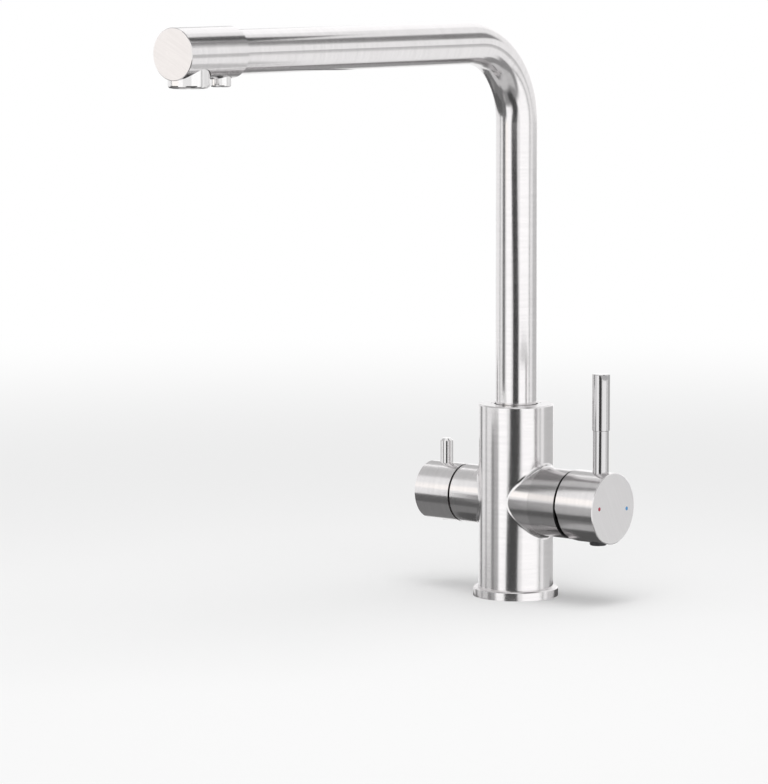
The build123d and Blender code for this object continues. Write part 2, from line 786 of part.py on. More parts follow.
# ---- mixer knob and lever ---------------------------------------------------------
def make_mixer_knob():
    shape = turned([
        (knob_rear_x, 0), (knob_rear_x, mixer_r), (knob_front_x - knob_chamfer, mixer_r),
        (knob_front_x, mixer_r - knob_chamfer), (knob_front_x, 0),
    ], "X", (0, axis_z))
    cavity_r = mixer_r - skirt_wall
    half = stem_width / 2 + FIT
    cuts = [
        rod(cavity_r, knob_rear_x - OVER, cavity_end_x, "X", (0, axis_z)),
        block((cavity_end_x - OVER, stem_end_x + FIT), (-half, half), (axis_z - half, axis_z + half)),
        rod(lever_rod_dia / 2 + FIT, axis_z + mixer_r - lever_spot, axis_z + mixer_r + OVER, at=(lever_x, 0)),
        rod(lever_thread_dia / 2 + FIT, axis_z + lever_thread_end - FIT, axis_z + mixer_r, at=(lever_x, 0)),
        rod(screw_dia / 2 + FIT, axis_z - mixer_r, axis_z - half + FIT, at=(screw_x, 0)),
        rod(plug_dia / 2 + FIT, axis_z - mixer_r - OVER, axis_z - plug_roof, at=(screw_x, 0)),
    ]
    for centre in dot_centres:
        cuts += [rod(dot_dia / 2 + RUN, knob_front_x - dot_depth, knob_front_x + OVER, "X", centre)]
    cuts += [tilt_relief()]
    for cut in cuts:
        shape -= cut
    return shape


def tilt_relief():
    """Wedge taken off the lower back of the knob, which swings towards the housing when the lever tilts."""
    below = mixer_r + OVER
    side = list(relief) + [(relief[-1][0], below), (-OVER, below), (-OVER, 0)]
    outline = [(knob_rear_x + x, -mixer_r, axis_z - drop) for x, drop in side]
    return extrude(make_face(Polyline(*outline, close=True)), mixer_dia, dir=(0, 1, 0))


def make_lever_rod():
    foot = axis_z + mixer_r - lever_spot
    step = axis_z + lever_rod_rise
    return turned([
        (axis_z + lever_thread_end, 0), (axis_z + lever_thread_end, lever_thread_dia / 2),
        (foot, lever_thread_dia / 2), (foot, lever_rod_dia / 2), (step, lever_rod_dia / 2),
        (step, stud_dia / 2), (step + stud_length, stud_dia / 2), (step + stud_length, 0),
    ], at=(lever_x, 0))


def make_lever_grip():
    foot, top, radius = axis_z + lever_rod_rise, axis_z + lever_top_rise, lever_grip_dia / 2
    shape = turned([
        (foot, 0), (foot, radius - grip_chamfer), (foot + grip_chamfer, radius), (top - grip_chamfer, radius),
        (top, radius - grip_chamfer), (top, 0),
    ], at=(lever_x, 0))
    return shape - rod(stud_dia / 2 + FIT, foot - OVER, foot + stud_length + CLEAR, at=(lever_x, 0))


def make_mixer_grub_screw():
    top = axis_z - stem_width / 2
    screw = rod(screw_dia / 2, top - screw_length, top, at=(screw_x, 0))
    return screw - hexagon(screw_dia / 2, top - screw_length - OVER, top - screw_length + screw_dia / 2,
                           at=(screw_x, 0))


def make_screw_plug():
    radius = plug_dia / 2
    foot = axis_z - plug_foot
    return turned([
        (foot, 0), (foot, radius - plug_chamfer), (foot + plug_chamfer, radius), (axis_z - plug_roof, radius),
        (axis_z - plug_roof, 0),
    ], at=(screw_x, 0))


def make_dot(centre):
    return rod(dot_dia / 2, knob_front_x - dot_depth, knob_front_x, "X", centre)


# ---- filter valve ---------------------------------------------------------------
def make_valve_seal():
    return ring(bonnet_r, valve_seal_bore / 2, -bonnet_x, -filter_seat_x, "X", (0, axis_z))


def make_valve_fixed_disc():
    far_x = -bonnet_x - disc_thickness
    shape = rod(disc_r, far_x, -bonnet_x, "X", (0, axis_z))
    return shape - rod(disc_port / 2, far_x - OVER, -bonnet_x + OVER, "X", (0, axis_z + disc_port_rise))


def make_valve_turning_disc():
    shape = rod(disc_r - FIT, -driver_x, -turning_x, "X", (0, axis_z))
    shape -= block((-driver_x - OVER, -driver_x + tongue_height + FIT),
                   (-tongue_length / 2 - FIT, tongue_length / 2 + FIT),
                   (axis_z - tongue_width / 2 - FIT, axis_z + tongue_width / 2 + FIT))
    return shape - rod(disc_port / 2, -driver_x - OVER, -turning_x + OVER, "X", (0, axis_z - disc_port_drop))


def make_valve_bonnet():
    chamber_r = bonnet_r - bonnet_wall
    bore_r = spindle_dia / 2 + RUN
    neck_r_filter = bonnet_neck_dia / 2
    shape = turned([
        (-bonnet_x, chamber_r), (-bonnet_x, bonnet_r), (-filter_step_x, bonnet_r),
        (-filter_step_x, neck_r_filter), (-neck_end_filter_x, neck_r_filter), (-neck_end_filter_x, bore_r),
        (-bonnet_roof_x, bore_r), (-bonnet_roof_x, chamber_r),
    ], "X", (0, axis_z))
    flange = hexagon(bonnet_flats, -flange_end_x, -filter_step_x, "X", (0, axis_z))
    shape += flange - rod(bore_r, -flange_end_x - OVER, -filter_step_x + OVER, "X", (0, axis_z))
    window_x = -driver_x
    window = block((window_x - window_length / 2, window_x + window_length / 2),
                   (-window_width / 2, window_width / 2), (axis_z + disc_r / 2, axis_z + bonnet_r + OVER))
    return shape - window


def make_valve_spindle():
    shape = turned([
        (-driver_x, 0), (-driver_x, driver_dia / 2), (-driver_x - driver_thickness, driver_dia / 2),
        (-driver_x - driver_thickness, spindle_dia / 2), (-square_start_x, spindle_dia / 2),
        (-square_start_x, 0),
    ], "X", (0, axis_z))
    shape += block((-driver_x - FIT, -driver_x + tongue_height), (-tongue_length / 2, tongue_length / 2),
                   (axis_z - tongue_width / 2, axis_z + tongue_width / 2))
    half = square_width / 2
    shape += block((-square_end_x, -square_start_x + FIT), (-half, half), (axis_z - half, axis_z + half))
    half_groove = spindle_ring_section / 2 + FIT
    groove = ring(spindle_dia / 2 + OVER, spindle_dia / 2 - spindle_ring_section,
                  -spindle_groove_x - half_groove, -spindle_groove_x + half_groove, "X", (0, axis_z))
    return shape - groove


def make_spindle_o_ring():
    inner = spindle_dia / 2 - spindle_ring_section + FIT / 2
    return o_ring(inner, spindle_ring_section - FIT, -spindle_groove_x, "X", (0, axis_z))


def make_valve_cover_ring():
    return ring(filter_pocket_dia / 2 - FIT, bonnet_neck_dia / 2 + FIT, -flange_end_x - cover_thickness,
                -flange_end_x, "X", (0, axis_z))


def make_filter_knob():
    shape = turned([
        (-filter_rear_x, 0), (-filter_rear_x, filter_r), (-filter_end_x + knob_chamfer, filter_r),
        (-filter_end_x, filter_r - knob_chamfer), (-filter_end_x, 0),
    ], "X", (0, axis_z))
    half = square_width / 2 + FIT
    cavity_end = filter_rear_x + filter_cavity_depth
    underside = axis_z - filter_r
    plug_top = underside + filter_plug_depth
    cuts = [
        rod(filter_cavity_dia / 2, -cavity_end, -filter_rear_x + OVER, "X", (0, axis_z)),
        block((-square_end_x - FIT, -cavity_end + OVER), (-half, half), (axis_z - half, axis_z + half)),
        rod(pin_dia / 2 + FIT, axis_z + filter_r - pin_spot, axis_z + filter_r + OVER, at=(-pin_x, 0)),
        rod(pin_thread_dia / 2 + FIT, axis_z + pin_thread_end - FIT, axis_z + filter_r, at=(-pin_x, 0)),
        rod(filter_screw_dia / 2 + FIT, underside, axis_z - half + FIT, at=(-pin_x, 0)),
        rod(filter_plug_dia / 2 + FIT, underside - OVER, plug_top, at=(-pin_x, 0)),
    ]
    for cut in cuts:
        shape -= cut
    return shape


def make_filter_pin():
    foot = axis_z + filter_r - pin_spot
    top = axis_z + pin_rise
    radius = pin_dia / 2
    return turned([
        (axis_z + pin_thread_end, 0), (axis_z + pin_thread_end, pin_thread_dia / 2),
        (foot, pin_thread_dia / 2), (foot, radius), (top - pin_chamfer, radius), (top, radius - pin_chamfer),
        (top, 0),
    ], at=(-pin_x, 0))


def make_filter_grub_screw():
    top = axis_z - square_width / 2
    screw = rod(filter_screw_dia / 2, top - filter_screw_length, top, at=(-pin_x, 0))
    return screw - hexagon(filter_screw_dia / 2, top - filter_screw_length - OVER,
                           top - filter_screw_length + filter_screw_dia / 2, at=(-pin_x, 0))


def make_filter_screw_plug():
    foot = axis_z - filter_r + FIT
    return rod(filter_plug_dia / 2, foot, axis_z - filter_r + filter_plug_depth, at=(-pin_x, 0))


# ---- the pieces -------------------------------------------------------------
pieces = {
    "base_ring": make_base_ring(),
    "base_seal": make_base_seal(),
    "body": make_body(),
    "threaded_shank": make_shank(),
    "deck_gasket": ring(gasket_dia / 2, washer_bore / 2, washer_top, gasket_top),
    "clamp_washer": ring(washer_dia / 2, washer_bore / 2, nut_top, washer_top),
    "mounting_nut": make_mounting_nut(),
    "glide_ring": ring(glide_r, glide_bore_r, glide_foot, glide_top),
    "rim_ring": ring(glide_r, tube_r + rim_ring_play, glide_top, rim_ring_top),
    "spout_screw": make_spout_screw(),
    "pipe_seal": o_ring(pipe_r + RUN, pipe_seal_section, pipe_seal_z),
    "spout_tube": make_spout_tube(),
    "spout_insert": make_spout_insert(),
    "spout_o_rings": make_spout_o_rings(),
    "filter_pipe": make_filter_pipe(),
    "head_shell": make_head_shell(),
    "head_manifold": make_head_manifold(),
    "aerator_housing": make_aerator_housing(),
    "aerator_washer": make_aerator_washer(),
    "aerator_insert": make_aerator_insert(),
    "aerator_mesh": make_aerator_mesh(),
    "filter_nozzle": make_filter_nozzle(),
    "nozzle_insert": make_nozzle_insert(),
    "cartridge_base": make_cartridge_base(),
    "cartridge_seals": make_cartridge_seals(),
    "fixed_disc": make_fixed_disc(),
    "cartridge_shell": make_cartridge_shell(),
    "cartridge_nut": make_cartridge_nut(),
    "trim_dome": make_trim_dome(),
    "cartridge_collar": make_cartridge_collar(),
    "pivot_pin": make_pivot_pin(),
    "moving_disc": make_moving_disc(),
    "disc_carrier": make_disc_carrier(),
    "cartridge_stem": make_cartridge_stem(),
    "mixer_knob": make_mixer_knob(),
    "lever_rod": make_lever_rod(),
    "lever_grip": make_lever_grip(),
    "mixer_grub_screw": make_mixer_grub_screw(),
    "screw_plug": make_screw_plug(),
    "hot_dot": make_dot(dot_centres[0]),
    "cold_dot": make_dot(dot_centres[1]),
    "valve_seal": make_valve_seal(),
    "valve_fixed_disc": make_valve_fixed_disc(),
    "valve_turning_disc": make_valve_turning_disc(),
    "valve_bonnet": make_valve_bonnet(),
    "valve_spindle": make_valve_spindle(),
    "spindle_o_ring": make_spindle_o_ring(),
    "valve_cover_ring": make_valve_cover_ring(),
    "filter_knob": make_filter_knob(),
    "filter_pin": make_filter_pin(),
    "filter_grub_screw": make_filter_grub_screw(),
    "filter_screw_plug": make_filter_screw_plug(),
}

for node, shape in pieces.items():
    solids = shape if isinstance(shape, list) else shape.solids()
    export_step(Compound(solids) if len(solids) > 1 else solids[0], f"parts/{node}.step")
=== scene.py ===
"""Finishes, studio and camera for a three way filtered water tap.

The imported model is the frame: its nodes keep their shape and place and get
their finish here. The threaded shank is made again with a real thread.
Metres; the origin is the centre of the base ring's underside, +Z up, the
spout points to -Y and the mixer to +X.
"""
import logging
import math
from dataclasses import dataclass, field
from enum import Enum
from typing import Any, Dict, Iterable, List, Mapping, Optional, Sequence, Tuple, Union

import bpy
from mathutils import Matrix, Vector

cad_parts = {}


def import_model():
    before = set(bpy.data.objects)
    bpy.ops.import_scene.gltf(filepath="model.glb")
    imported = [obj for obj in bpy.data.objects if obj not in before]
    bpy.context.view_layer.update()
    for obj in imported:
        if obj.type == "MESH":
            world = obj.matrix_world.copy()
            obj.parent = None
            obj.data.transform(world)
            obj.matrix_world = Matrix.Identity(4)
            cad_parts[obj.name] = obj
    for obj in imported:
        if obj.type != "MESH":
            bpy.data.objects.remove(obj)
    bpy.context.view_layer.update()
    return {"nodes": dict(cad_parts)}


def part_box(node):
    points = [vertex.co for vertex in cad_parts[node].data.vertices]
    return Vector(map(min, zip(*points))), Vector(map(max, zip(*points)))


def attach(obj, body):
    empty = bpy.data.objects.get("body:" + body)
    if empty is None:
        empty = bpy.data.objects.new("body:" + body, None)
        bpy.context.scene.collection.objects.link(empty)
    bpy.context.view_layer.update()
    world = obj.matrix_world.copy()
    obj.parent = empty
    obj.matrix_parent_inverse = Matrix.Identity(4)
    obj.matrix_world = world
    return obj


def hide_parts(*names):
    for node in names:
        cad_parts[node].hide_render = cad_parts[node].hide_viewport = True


log = logging.getLogger("tap")

MM = 0.001
Colour = Tuple[float, float, float]
Point = Tuple[float, float, float]
CardRow = Tuple[float, float, float]
Input = Union[float, int, Sequence[float], "Wire"]


def smooth_step(value: "Wire", low: float, high: float) -> "Wire":
    """Rise from 0 to 1 as a value goes from low to high.

    Args:
        value: the value that is read.
        low: where the rise starts.
        high: where it ends.

    Returns:
        The eased value, between 0 and 1.
    """
    return value.shop.node("ShaderNodeMapRange", {"interpolation_type": "SMOOTHSTEP"},
                           {"Value": value, "From Min": low, "From Max": high})


class Wire:
    """A socket that carries one value, with Python's arithmetic on it."""

    def __init__(self, shop: "NodeShop", socket: Optional[bpy.types.NodeSocket]) -> None:
        """Keep the socket and the shop whose tree it is in.

        Args:
            shop: the maker of the tree's nodes.
            socket: an output socket, or None after a node that has none.
        """
        self.shop = shop
        self.socket = socket

    def _maths(self, operation: str, first: Input, second: Input = 0.0) -> "Wire":
        """One Math node.

        Args:
            operation: the node's operation.
            first: its first value.
            second: its second value.

        Returns:
            The node's result.
        """
        return self.shop.node("ShaderNodeMath", {"operation": operation}, {0: first, 1: second})

    def __add__(self, other: Input) -> "Wire":
        """Sum with a value or wire."""
        return self._maths("ADD", self, other)

    def __radd__(self, other: Input) -> "Wire":
        """Sum, with the wire on the right."""
        return self._maths("ADD", other, self)

    def __sub__(self, other: Input) -> "Wire":
        """Difference."""
        return self._maths("SUBTRACT", self, other)

    def __rsub__(self, other: Input) -> "Wire":
        """Difference, with the wire on the right."""
        return self._maths("SUBTRACT", other, self)

    def __mul__(self, other: Input) -> "Wire":
        """Product with a value or wire."""
        return self._maths("MULTIPLY", self, other)

    def __rmul__(self, other: Input) -> "Wire":
        """Product, with the wire on the right."""
        return self._maths("MULTIPLY", other, self)

    def __abs__(self) -> "Wire":
        """Size without its sign."""
        return self._maths("ABSOLUTE", self)

    def __pow__(self, other: Input) -> "Wire":
        """Power."""
        return self._maths("POWER", self, other)

    def __rpow__(self, other: Input) -> "Wire":
        """Power, with the wire on the right."""
        return self._maths("POWER", other, self)

    def at_least(self, other: Input) -> "Wire":
        """The larger of the wire and another value."""
        return self._maths("MAXIMUM", self, other)

    def at_most(self, other: Input) -> "Wire":
        """The smaller of the wire and another value."""
        return self._maths("MINIMUM", self, other)

    def angle_from(self, other: Input) -> "Wire":
        """The angle whose tangent is the wire over another value."""
        return self._maths("ARCTAN2", self, other)


@dataclass(frozen=True)
class Speckle:
    """How a layer of noise is drawn: its frequency, its octaves and how much the finer ones weigh."""

    scale: float
    detail: float
    weight: float


class NodeShop:
    """Makes the nodes of one material or world."""

    def __init__(self, tree: bpy.types.NodeTree) -> None:
        """Empty the tree.

        Args:
            tree: the node tree to fill.
        """
        self.tree = tree
        tree.nodes.clear()

    def node(self, kind: str, settings: Optional[Mapping[str, Any]] = None,
             inputs: Optional[Mapping[Union[int, str], Input]] = None,
             output: Union[int, str] = 0) -> Wire:
        """Add any node.

        Args:
            kind: the node's type.
            settings: its properties, set first.
            inputs: values or wires, by socket name or number.
            output: the socket to read.

        Returns:
            The chosen output; after a node without outputs, a wire that carries nothing.
        """
        made = self.tree.nodes.new(kind)
        for name, value in (settings or {}).items():
            setattr(made, name, value)
        for name, value in (inputs or {}).items():
            socket = made.inputs[name]
            if isinstance(value, Wire):
                self.tree.links.new(value.socket, socket)
            elif isinstance(value, (int, float)) or len(value) == len(socket.default_value):
                socket.default_value = value
            else:
                socket.default_value = (*value, 1.0)
        return Wire(self, made.outputs[output] if made.outputs else None)

    def siblings(self, wire: Wire, names: Iterable[Union[int, str]]) -> Tuple[Wire, ...]:
        """Several outputs of the node that a wire comes from."""
        return tuple(Wire(self, wire.socket.node.outputs[name]) for name in names)

    def place(self) -> Tuple[Wire, ...]:
        """The point on the piece, in the frame, as three wires."""
        return self.split(self.node("ShaderNodeTexCoord", output="Object"))

    def facing(self) -> Tuple[Wire, ...]:
        """The surface's own normal on the piece, as three wires."""
        return self.split(self.node("ShaderNodeTexCoord", output="Normal"))

    def split(self, vector: Wire) -> Tuple[Wire, ...]:
        """Take a vector apart into its three parts."""
        return self.siblings(self.node("ShaderNodeSeparateXYZ", inputs={0: vector}), range(3))

    def join(self, x: Input, y: Input, z: Input) -> Wire:
        """Make a vector of three values."""
        return self.node("ShaderNodeCombineXYZ", inputs={0: x, 1: y, 2: z})

    def noise(self, vector: Wire, look: Speckle) -> Wire:
        """Smooth noise between 0 and 1, read at a vector."""
        return self.node("ShaderNodeTexNoise", inputs={
            "Vector": vector, "Scale": look.scale, "Detail": look.detail, "Roughness": look.weight})

    def bump(self, height: Wire, depth: float) -> Wire:
        """A normal that follows a height between 0 and 1, over a depth."""
        return self.node("ShaderNodeBump", inputs={"Strength": 1.0, "Distance": depth, "Height": height})

    def surface(self, kind: str, inputs: Mapping[Union[int, str], Input]) -> None:
        """Give a material its shader and its output."""
        shader = self.node(kind, inputs=inputs)
        self.node("ShaderNodeOutputMaterial", inputs={"Surface": shader})

    def blend(self, factor: Input, first: Input, second: Input) -> Wire:
        """Mix two colours.

        Args:
            factor: share of the second colour.
            first: a colour.
            second: a colour.

        Returns:
            The mixed colour.
        """
        return self.node("ShaderNodeMix", {"data_type": "RGBA"}, {0: factor, 6: first, 7: second}, output=2)


def new_material(name: str) -> Tuple[bpy.types.Material, NodeShop]:
    """Start a material with nodes.

    Args:
        name: the material's name.

    Returns:
        The material and the shop that fills its tree.
    """
    material = bpy.data.materials.new(name)
    material.use_nodes = True
    return material, NodeShop(material.node_tree)


def shaded(colour: Colour, share: float) -> Colour:
    """A colour times a number."""
    return tuple(channel * share for channel in colour)


def swing(noise: Wire, reach: float) -> Wire:
    """A noise's swing about its middle, half the reach to each side."""
    return (noise - 0.5) * reach


def tool_rings(shop: NodeShop, frequency: float, pitch: float) -> Wire:
    """The rings that turning leaves round the upright axis.

    Args:
        shop: the maker of nodes.
        frequency: how fast the noise changes across the piece, per metre.
        pitch: size of a ring along the axis.

    Returns:
        The rings, between 0 and 1.
    """
    x, y, z = shop.place()
    return shop.noise(shop.join(x * frequency, y * frequency, z * (1 / pitch)), Speckle(1.0, 2.0, 0.6))


class Grain(Enum):
    """Which way the brush or tool went over a metal piece."""

    ROUND_X = "round the cross axis"
    ROUND_Y = "round the spout's level run"
    ROUND_Z = "round the upright axis"
    BENT = "round the spout, through its bend"


@dataclass(frozen=True)
class SpoutRoute:
    """The centre line of the spout, for finishes that follow it."""

    bend_radius: float = 54 * MM
    level: float = 376.5 * MM

    def travel(self, y: Wire, z: Wire) -> Wire:
        """Distance along the centre line.

        Args:
            y: place along the level run.
            z: height.

        Returns:
            The distance from the deck, up, round and out.
        """
        corner_y, corner_z = -self.bend_radius, self.level - self.bend_radius
        over = (z - corner_z).at_least(0.0)
        inward = (y - corner_y).at_least(0.0)
        outward = (corner_y - y).at_least(0.0)
        return z.at_most(corner_z) + over.angle_from(inward) * self.bend_radius + outward


@dataclass(frozen=True)
class BrushWays:
    """The ways along and across a brushed piece, and how far its surface faces along it."""

    along: Wire
    side: Wire
    up: Wire
    end_on: Wire


@dataclass(frozen=True)
class BrushedSteel:
    """Satin stainless steel with the hairlines of a brush that went round the piece.

    Lengths are in metres. The housing of the mixer starts at housing_from on
    the cross axis, and its colour gets painted shade there. Its end, in the gap
    to the knob, is painted black as a painted shadow, and the end faces of a
    piece can be lightened with painted light.
    """

    name: str
    grain: Grain
    colour: Colour = (0.80, 0.782, 0.786)
    roughness: float = 0.17
    face_roughness: float = 0.3
    line_depth: float = 0.006 * MM
    line_pitch: float = 0.5 * MM
    line_length: float = 30 * MM
    streak_pitch: float = 1.6 * MM
    face_lean: float = 0.5
    # painted light: share of white mixed into the colour of the flat end faces
    face_painted_light: float = 0.0
    face_range: Tuple[float, float] = (0.6, 0.8)
    housing_from: float = 1.0
    # painted shade: share of black mixed into the housing's colour, standing in for the darker reflections
    # on it
    housing_shade: float = 0.14
    housing_edge: float = 1 * MM
    # painted shadow: where the black of the gap to the knob starts on the cross axis, with its soft edge and
    # its colour
    dark_from: float = 1.0
    dark_edge: float = 0.1 * MM
    dark_colour: Colour = (0.03, 0.03, 0.03)
    coarse: Speckle = Speckle(1.0, 3.0, 0.7)
    coarse_share: float = 0.6
    fine: Speckle = Speckle(4.0, 2.0, 0.6)
    on_face: Speckle = Speckle(1.0, 4.0, 0.7)
    streak: Speckle = Speckle(1.0, 2.0, 0.6)
    line_share: float = 0.5
    tone_range: Tuple[float, float] = (0.85, 1.12)
    handling: Speckle = Speckle(22.0, 3.0, 0.55)
    handled_range: Tuple[float, float] = (0.45, 0.75)
    handled_share: float = 0.35
    handled_shade: float = 0.95
    line_gloss: float = 0.12
    handled_gloss: float = 0.06

    def _ways(self, shop: NodeShop) -> BrushWays:
        """Sort the frame's axes by the grain.

        Args:
            shop: the maker of nodes.

        Returns:
            The ways along and across the piece.
        """
        x, y, z = shop.place()
        nx, ny, nz = shop.facing()
        if self.grain is Grain.ROUND_X:
            return BrushWays(x, y, z, abs(nx))
        if self.grain is Grain.ROUND_Y:
            return BrushWays(y, z, x, abs(ny))
        if self.grain is Grain.ROUND_Z:
            cross = smooth_step(abs(x), self.housing_from, self.housing_from + self.housing_edge)
            return BrushWays(z + (x - z) * cross, x + (y - x) * cross, y + (z - y) * cross,
                             abs(nz) * (1 - cross))
        no_end_shows = nx * 0.0
        return BrushWays(SpoutRoute().travel(y, z), x, y + z, no_end_shows)

    def _over_face(self, shop: NodeShop, ways: BrushWays, pitch: float) -> Wire:
        """Where noise is read for straight lines over a flat end.

        Args:
            shop: the maker of nodes.
            ways: the ways along and across the piece.
            pitch: width of a line.

        Returns:
            The vector to read it at.
        """
        stretch = 1 / self.line_length
        leaning, upright = ways.side + ways.up * self.face_lean, ways.up - ways.side * self.face_lean
        return shop.join(leaning * (1 / pitch), upright * stretch, ways.along * stretch)

    def _round_piece(self, shop: NodeShop, ways: BrushWays, pitch: float) -> Wire:
        """Where noise is read for lines of a given width that go round the piece."""
        stretch = 1 / self.line_length
        return shop.join(ways.side * stretch, ways.up * stretch, ways.along * (1 / pitch))

    def _housing(self, shop: NodeShop, base: Wire) -> Wire:
        """Paint shade on the mixer's housing, and paint its end, in the gap to the knob, black as a painted
        shadow.

        Args:
            shop: the maker of nodes.
            base: the colour so far.

        Returns:
            The colour with both.
        """
        x = shop.place()[0]
        housing = smooth_step(x, self.housing_from, self.housing_from + self.housing_edge)
        # painted shade: the housing's colour darkened towards black
        base = shop.blend(housing * self.housing_shade, base, (0.0, 0.0, 0.0))
        # painted shadow: the housing's end, in the gap to the knob, coloured black
        end = smooth_step(x, self.dark_from, self.dark_from + self.dark_edge)
        return shop.blend(end, base, self.dark_colour)

    def make(self) -> bpy.types.Material:
        """Build the material.

        Returns:
            The material.
        """
        material, shop = new_material(self.name)
        ways = self._ways(shop)
        face = smooth_step(ways.end_on, *self.face_range)
        round_lines = self._round_piece(shop, ways, self.line_pitch)
        lines = (shop.noise(round_lines, self.coarse) * self.coarse_share
                 + shop.noise(round_lines, self.fine) * (1 - self.coarse_share)) * (1 - face)
        lines = lines + shop.noise(self._over_face(shop, ways, self.line_pitch), self.on_face) * face
        streaks = (shop.noise(self._round_piece(shop, ways, self.streak_pitch), self.streak) * (1 - face)
                   + shop.noise(self._over_face(shop, ways, self.streak_pitch), self.streak) * face)
        handling = shop.noise(shop.join(ways.side, ways.up, ways.along), self.handling)
        dark, light = (shaded(self.colour, share) for share in self.tone_range)
        base = shop.blend(lines * self.line_share + streaks * (1 - self.line_share), dark, light)
        handled = smooth_step(handling, *self.handled_range) * self.handled_share
        base = shop.blend(handled, base, shaded(self.colour, self.handled_shade))
        # painted light: the end faces' colour mixed towards white, standing in for the brighter light on
        # them
        base = shop.blend(face * self.face_painted_light, base, (1.0, 1.0, 1.0))
        gloss = self.roughness + face * (self.face_roughness - self.roughness)
        shop.surface("ShaderNodeBsdfPrincipled", {
            "Base Color": self._housing(shop, base), "Metallic": 1.0,
            "Roughness": gloss + swing(lines, self.line_gloss) + swing(handling, self.handled_gloss),
            "Normal": shop.bump(lines, self.line_depth)})
        return material


@dataclass(frozen=True)
class PolishedSteel:
    """Mirror-bright steel or chrome with the faint rings and smudges of use."""

    name: str
    colour: Colour = (0.81, 0.80, 0.80)
    roughness: float = 0.13
    ring_frequency: float = 40.0
    ring_pitch: float = 2.0 * MM
    ring_depth: float = 0.0015 * MM
    ring_gloss: float = 0.02
    smudge: Speckle = Speckle(60.0, 4.0, 0.6)
    smudge_range: Tuple[float, float] = (0.5, 0.8)
    smudge_gloss: float = 0.05
    smudge_share: float = 0.3
    smudge_shade: float = 0.94

    def make(self) -> bpy.types.Material:
        """Build the material.

        Returns:
            The material.
        """
        material, shop = new_material(self.name)
        rings = tool_rings(shop, self.ring_frequency, self.ring_pitch)
        smudge = shop.noise(shop.join(*shop.place()), self.smudge)
        dull = smooth_step(smudge, *self.smudge_range) * self.smudge_gloss
        shop.surface("ShaderNodeBsdfPrincipled", {
            "Base Color": shop.blend(smudge * self.smudge_share, self.colour,
                                     shaded(self.colour, self.smudge_shade)),
            "Metallic": 1.0, "Roughness": self.roughness + dull + swing(rings, self.ring_gloss),
            "Normal": shop.bump(rings, self.ring_depth)})
        return material


@dataclass(frozen=True)
class MachinedMetal:
    """Turned brass or plated steel, with tool rings and a dull stain."""

    name: str
    colour: Colour
    stain: Colour
    roughness: float = 0.3
    ring_frequency: float = 60.0
    ring_pitch: float = 0.3 * MM
    ring_depth: float = 0.004 * MM
    ring_gloss: float = 0.1
    cloud: Speckle = Speckle(90.0, 5.0, 0.6)
    stain_range: Tuple[float, float] = (0.4, 0.75)
    stain_gloss: float = 0.2

    def make(self) -> bpy.types.Material:
        """Build the material.

        Returns:
            The material.
        """
        material, shop = new_material(self.name)
        rings = tool_rings(shop, self.ring_frequency, self.ring_pitch)
        cloud = shop.noise(shop.join(*shop.place()), self.cloud)
        shop.surface("ShaderNodeBsdfPrincipled", {
            "Base Color": shop.blend(smooth_step(cloud, *self.stain_range), self.colour, self.stain),
            "Metallic": 1.0,
            "Roughness": self.roughness + swing(cloud, self.stain_gloss) + swing(rings, self.ring_gloss),
            "Normal": shop.bump(rings, self.ring_depth)})
        return material


@dataclass(frozen=True)
class MouldedMaterial:
    """Rubber, plastic, ceramic or enamel: a body colour with a fine moulded grain."""

    name: str
    colour: Colour
    roughness: float
    grain_size: float = 0.4 * MM
    grain_depth: float = 0.01 * MM
    grain_gloss: float = 0.06
    coat: float = 0.0
    coat_roughness: float = 0.08
    cloud: Speckle = Speckle(70.0, 3.0, 0.5)
    cloud_gloss: float = 0.12
    tone_range: Tuple[float, float] = (0.88, 1.08)

    def make(self) -> bpy.types.Material:
        """Build the material.

        Returns:
            The material.
        """
        material, shop = new_material(self.name)
        spot = shop.join(*shop.place())
        grain = shop.noise(spot, Speckle(1 / self.grain_size, 2.0, 0.5))
        cloud = shop.noise(spot, self.cloud)
        dark, light = (shaded(self.colour, share) for share in self.tone_range)
        shop.surface("ShaderNodeBsdfPrincipled", {
            "Base Color": shop.blend(cloud, dark, light),
            "Roughness": self.roughness + swing(cloud, self.cloud_gloss) + swing(grain, self.grain_gloss),
            "Coat Weight": self.coat, "Coat Roughness": self.coat_roughness,
            "Normal": shop.bump(grain, self.grain_depth)})
        return material


FinishKey = Union[Grain, str]
Recipe = Union[BrushedSteel, PolishedSteel, MachinedMetal, MouldedMaterial]
Wears = Mapping[str, FinishKey]


